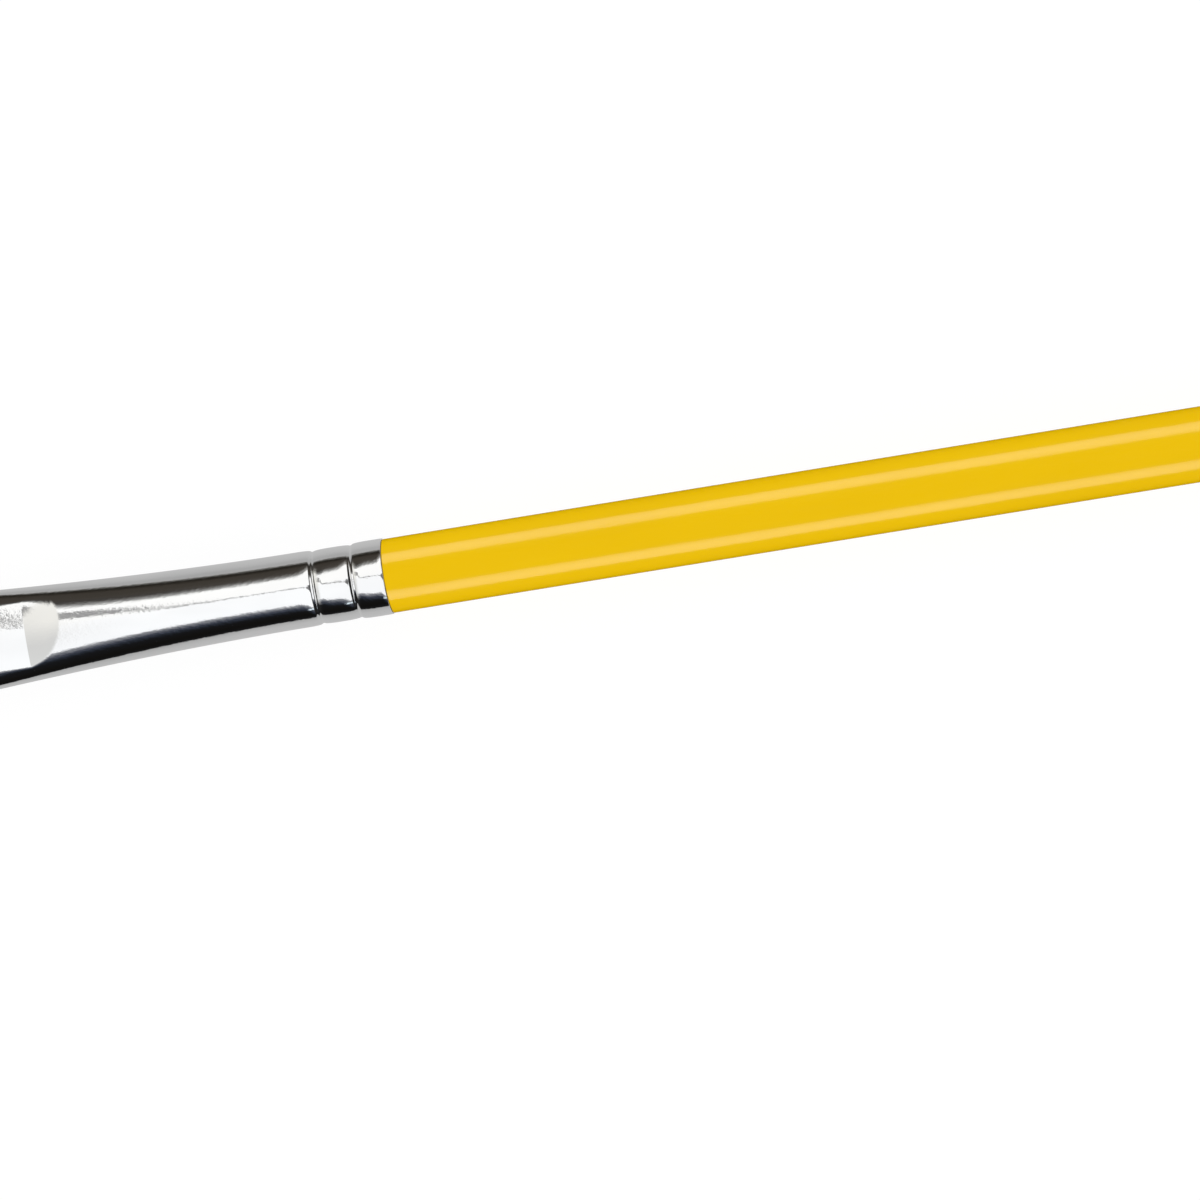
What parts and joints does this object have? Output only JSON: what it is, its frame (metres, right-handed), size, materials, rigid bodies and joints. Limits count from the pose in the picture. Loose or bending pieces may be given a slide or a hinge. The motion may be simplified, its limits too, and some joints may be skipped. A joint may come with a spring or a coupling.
{
  "type": "eyeshadow brush",
  "caption": "Angled eyeshadow brush: lacquered wooden handle, crimped and flattened metal ferrule, and a bound tuft of hair that bends and springs back at the ferrule's mouth.",
  "frame": {"origin": "On the brush's axis, at the shoulder where the handle meets the ferrule", "axes": "+X along the handle to the tail, +Y across the wide way of the ferrule, +Z out of one of its flat faces"},
  "size_m": [0.1829, 0.0106, 0.007],
  "materials": {
    "birch_wood": "pale turned hardwood, bare on the tenon",
    "yellow_lacquer": "warm yellow lacquer with a soft gloss",
    "amber_resin": "hard amber epoxy",
    "plated_metal": "bright nickel plate, polished",
    "brown_hair": "soft brown hair, paler at the tips",
    "cotton_thread": "undyed cotton"
  },
  "bodies": {
    "brush": {"handle_core": "birch_wood", "handle_lacquer": "yellow_lacquer", "tenon_glue": "amber_resin", "ferrule": "plated_metal", "tuft_root": "brown_hair", "binding_thread": "cotton_thread", "resin_plug": "amber_resin"},
    "tuft_hair": {"tuft": "brown_hair"}
  },
  "joints": [
    {"name": "tuft_flex", "type": "hinge", "parent": "brush", "child": "tuft_hair", "pos_m": [-0.04305, 0, 0], "axis": [0, 1, 0], "range_deg": [-30, 30], "stiffness_Nm_per_rad": 0.006, "deforming": ["tuft"]}
  ]
}
